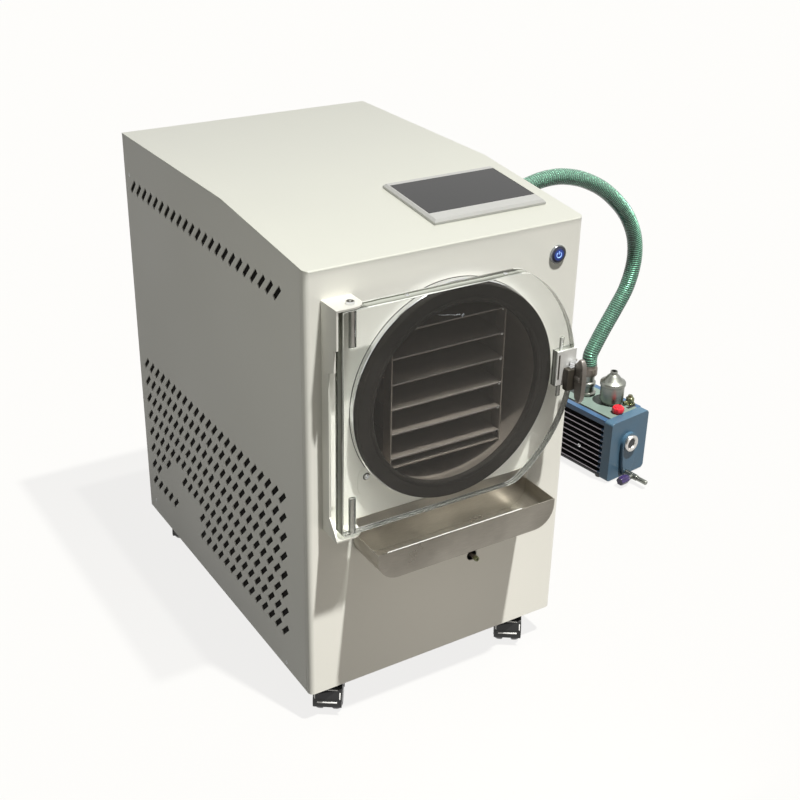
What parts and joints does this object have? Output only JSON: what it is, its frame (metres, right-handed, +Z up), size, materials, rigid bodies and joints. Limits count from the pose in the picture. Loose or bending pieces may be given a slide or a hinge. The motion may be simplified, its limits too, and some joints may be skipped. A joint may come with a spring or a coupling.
{
  "type": "freeze dryer",
  "caption": "Laboratory freeze dryer: white cabinet on casters, horizontal vacuum chamber with shelves behind a clear hinged door, touch screen, drip tray and a hose to a floor pump.",
  "frame": {"origin": "middle of the footprint of the cabinet and pump, at floor level", "axes": "+X to the right of someone facing the door, +Y to the rear, +Z up"},
  "size_m": [1.1151, 0.8284, 0.8452],
  "materials": {
    "white_paint": "satin",
    "galvanised": "matte",
    "stainless": "brushed",
    "chrome": "polished",
    "seal_rubber": "matte",
    "copper": "satin",
    "foam": "matte",
    "black_paint": "satin",
    "clear_acrylic": "polished",
    "grey_plastic": "satin",
    "dark_glass": "gloss",
    "blue_lamp": "gloss",
    "aluminium": "satin",
    "dark_steel": "satin",
    "black_plastic": "gloss",
    "green_hose": "gloss",
    "blue_paint": "satin",
    "red_plastic": "gloss",
    "brass": "satin",
    "purple_plastic": "gloss"
  },
  "bodies": {
    "cabinet": {"front_panel": "white_paint", "left_panel": "white_paint", "right_panel": "white_paint", "rear_panel": "white_paint", "top_cover": "white_paint", "hinge_bracket": "white_paint", "base_pan": "galvanised", "chamber_stand": "galvanised", "chamber": "stainless", "shelf_rack": "stainless", "shelf_1": "stainless", "shelf_2": "stainless", "shelf_3": "stainless", "shelf_4": "stainless", "shelf_5": "stainless", "shelf_6": "stainless", "drip_tray": "stainless", "latch_keeper": "stainless", "vacuum_port": "stainless", "button_ring": "chrome", "hinge_pin_top": "chrome", "hinge_pin_bottom": "chrome", "sight_glass": "chrome", "exhaust_canister": "chrome", "pump_inlet": "chrome", "drain_valve": "chrome", "door_seal": "seal_rubber", "evaporator_coil": "copper", "discharge_pipe": "copper", "insulation_jacket": "foam", "compressor": "black_paint", "pump_case": "black_paint", "screen_bezel": "grey_plastic", "control_box": "grey_plastic", "screen_glass": "dark_glass", "condenser": "aluminium", "fan_shroud": "black_plastic", "mains_inlet": "black_plastic", "vacuum_hose": "green_hose", "pump_cover": "blue_paint", "pump_motor": "blue_paint"},
    "door": {"door_panel": "clear_acrylic", "hinge_bush_top": "stainless", "hinge_bush_bottom": "stainless", "latch_housing": "aluminium"},
    "latch": {"latch_handle": "dark_steel", "latch_cam": "stainless"},
    "button": {"button_cap": "blue_lamp"},
    "fan": {"fan_rotor": "black_plastic"},
    "oil_cap": {"oil_cap": "red_plastic"},
    "ballast": {"ballast_valve": "brass"},
    "drain_knob": {"drain_knob": "purple_plastic"},
    "caster_1_swivel": {"caster_1_hood": "black_plastic"},
    "caster_1_wheel": {"caster_1_wheels": "black_plastic"},
    "caster_2_swivel": {"caster_2_hood": "black_plastic"},
    "caster_2_wheel": {"caster_2_wheels": "black_plastic"},
    "caster_3_swivel": {"caster_3_hood": "black_plastic"},
    "caster_3_wheel": {"caster_3_wheels": "black_plastic"},
    "caster_4_swivel": {"caster_4_hood": "black_plastic"},
    "caster_4_wheel": {"caster_4_wheels": "black_plastic"}
  },
  "joints": [
    {"name": "door_hinge", "type": "hinge", "parent": "cabinet", "child": "door", "pos_m": [-0.47699, -0.36473, 0.577], "axis": [0, 0, -1], "range_deg": [0, 100]},
    {"name": "latch_turn", "type": "hinge", "parent": "door", "child": "latch", "pos_m": [-0.07099, -0.33423, 0.567], "axis": [0, -1, 0], "range_deg": [0, 90]},
    {"name": "button_press", "type": "slide", "parent": "cabinet", "child": "button", "axis": [0, 1, 0], "range_m": [0, 0.0025], "stiffness_N_per_m": 800, "springref_m": -0.0005},
    {"name": "fan_spin", "type": "hinge", "parent": "cabinet", "child": "fan", "pos_m": [-0.47669, 0.18077, 0.1773], "axis": [1, 0, 0], "continuous": true},
    {"name": "oil_cap_turn", "type": "hinge", "parent": "cabinet", "child": "oil_cap", "pos_m": [0.46313, 0.07137, 0.15], "axis": [0, 0, 1], "range_deg": [0, 360]},
    {"name": "ballast_turn", "type": "hinge", "parent": "cabinet", "child": "ballast", "pos_m": [0.51497, 0.0913, 0.15], "axis": [0, 0, 1], "range_deg": [0, 180]},
    {"name": "drain_knob_turn", "type": "hinge", "parent": "cabinet", "child": "drain_knob", "pos_m": [0.47032, 0.00907, 0.016], "axis": [-0.9914, -0.1305, 0], "range_deg": [0, 180]},
    {"name": "caster_1_turn", "type": "hinge", "parent": "cabinet", "child": "caster_1_swivel", "pos_m": [-0.47199, -0.28923, 0], "axis": [0, 0, 1], "continuous": true},
    {"name": "caster_1_roll", "type": "hinge", "parent": "caster_1_swivel", "child": "caster_1_wheel", "pos_m": [-0.48346, -0.30561, 0.025], "axis": [0.8192, -0.5736, 0], "continuous": true},
    {"name": "caster_2_turn", "type": "hinge", "parent": "cabinet", "child": "caster_2_swivel", "pos_m": [-0.09599, -0.28923, 0], "axis": [0, 0, 1], "continuous": true},
    {"name": "caster_2_roll", "type": "hinge", "parent": "caster_2_swivel", "child": "caster_2_wheel", "pos_m": [-0.10746, -0.30561, 0.025], "axis": [0.8192, -0.5736, 0], "continuous": true},
    {"name": "caster_3_turn", "type": "hinge", "parent": "cabinet", "child": "caster_3_swivel", "pos_m": [-0.47199, 0.31677, 0], "axis": [0, 0, 1], "continuous": true},
    {"name": "caster_3_roll", "type": "hinge", "parent": "caster_3_swivel", "child": "caster_3_wheel", "pos_m": [-0.48346, 0.30039, 0.025], "axis": [0.8192, -0.5736, 0], "continuous": true},
    {"name": "caster_4_turn", "type": "hinge", "parent": "cabinet", "child": "caster_4_swivel", "pos_m": [-0.09599, 0.31677, 0], "axis": [0, 0, 1], "continuous": true},
    {"name": "caster_4_roll", "type": "hinge", "parent": "caster_4_swivel", "child": "caster_4_wheel", "pos_m": [-0.10746, 0.30039, 0.025], "axis": [0.8192, -0.5736, 0], "continuous": true}
  ]
}
